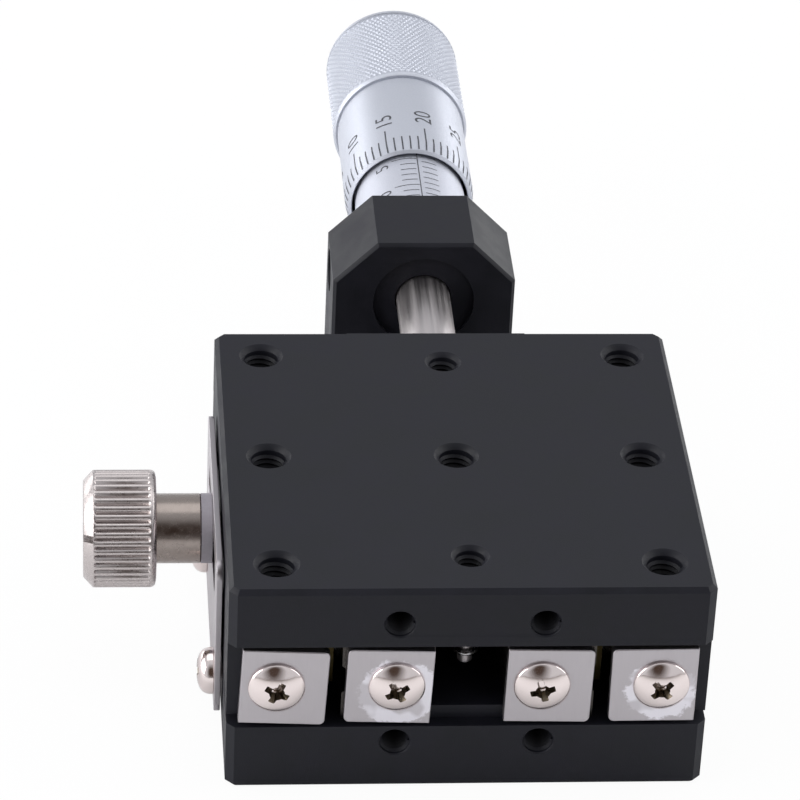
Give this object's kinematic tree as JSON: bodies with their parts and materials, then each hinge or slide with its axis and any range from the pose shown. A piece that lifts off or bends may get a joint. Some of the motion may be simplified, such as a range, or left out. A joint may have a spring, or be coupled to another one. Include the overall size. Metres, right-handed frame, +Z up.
{
  "type": "linear translation stage",
  "caption": "Square crossed-roller translation stage with a centre micrometer drive behind it and a knurled clamp screw on its left side.",
  "frame": {"origin": "centre of the base plate's bottom face", "axes": "+X across the stage away from the clamp knob, +Y along the travel towards the micrometer, +Z up through the table"},
  "size_m": [0.0517, 0.103, 0.0204],
  "materials": {
    "anodised_black": "satin black anodised",
    "rail_steel": "ground hardened steel",
    "plate_steel": "satin rolled steel",
    "screw_nickel": "nickel plated",
    "cap_screw_black": "black oxide",
    "roller_steel": "polished bearing steel",
    "cage_brass": "rolled brass",
    "spring_steel": "drawn wire",
    "micrometer_chrome": "satin chrome",
    "spindle_steel": "ground steel",
    "knob_nickel": "nickel plated",
    "washer_grey": "matt grey"
  },
  "bodies": {
    "base": {"base_plate": "anodised_black", "inner_rail_left": "rail_steel", "inner_rail_right": "rail_steel", "inner_rail_screws": "cap_screw_black", "inner_end_plates": "plate_steel", "inner_end_plate_screws": "screw_nickel", "base_spring_post": "spring_steel", "micrometer_bracket": "anodised_black", "bracket_screws": "cap_screw_black", "stem_set_screw": "cap_screw_black", "micrometer_sleeve": "micrometer_chrome", "adjusting_nut": "micrometer_chrome", "clamp_plate": "plate_steel", "clamp_plate_spacers": "plate_steel", "clamp_plate_screws": "screw_nickel"},
    "table": {"table_top": "anodised_black", "outer_rail_left": "rail_steel", "outer_rail_right": "rail_steel", "outer_rail_screws": "cap_screw_black", "outer_end_plates": "plate_steel", "outer_end_plate_screws": "screw_nickel", "preload_screws": "cap_screw_black", "table_spring_post": "spring_steel", "extension_spring": "spring_steel", "anvil_plate": "anodised_black", "anvil_pad": "spindle_steel", "anvil_screws": "screw_nickel"},
    "left_cage": {"roller_cage_left": "cage_brass", "rollers_left": "roller_steel"},
    "right_cage": {"roller_cage_right": "cage_brass", "rollers_right": "roller_steel"},
    "thimble": {"thimble": "micrometer_chrome", "spindle": "spindle_steel", "thimble_screw": "micrometer_chrome"},
    "clamp_washer": {"clamp_washer": "washer_grey"},
    "clamp_screw": {"clamp_knob": "knob_nickel"}
  },
  "joints": [
    {"name": "table_travel", "type": "slide", "parent": "base", "child": "table", "axis": [0, 1, 0], "range_m": [-0.0065, 0.00468], "deforming": ["extension_spring"]},
    {"name": "left_cage_travel", "type": "slide", "parent": "base", "child": "left_cage", "axis": [0, 1, 0], "range_m": [-0.00325, 0.00234]},
    {"name": "right_cage_travel", "type": "slide", "parent": "base", "child": "right_cage", "axis": [0, 1, 0], "range_m": [-0.00325, 0.00234]},
    {"name": "thimble_turn", "type": "hinge", "parent": "table", "child": "thimble", "pos_m": [0, 0.0533, 0.01375], "axis": [0, 1, 0], "range_deg": [-4680.1, 3373.3]},
    {"name": "clamp_advance", "type": "slide", "parent": "table", "child": "clamp_washer", "axis": [-1, 0, 0], "range_m": [0, 0.00025]},
    {"name": "clamp_turn", "type": "hinge", "parent": "clamp_washer", "child": "clamp_screw", "pos_m": [-0.0217, 0, 0.0126], "axis": [-1, 0, 0], "range_deg": [0, 180.1]}
  ],
  "couplings": [
    {"joint": "left_cage_travel", "follows": "table_travel", "ratio": 0.5},
    {"joint": "right_cage_travel", "follows": "table_travel", "ratio": 0.5},
    {"joint": "thimble_turn", "follows": "table_travel", "rad_per_m": 12566},
    {"joint": "clamp_turn", "follows": "clamp_advance", "rad_per_m": 12566}
  ]
}
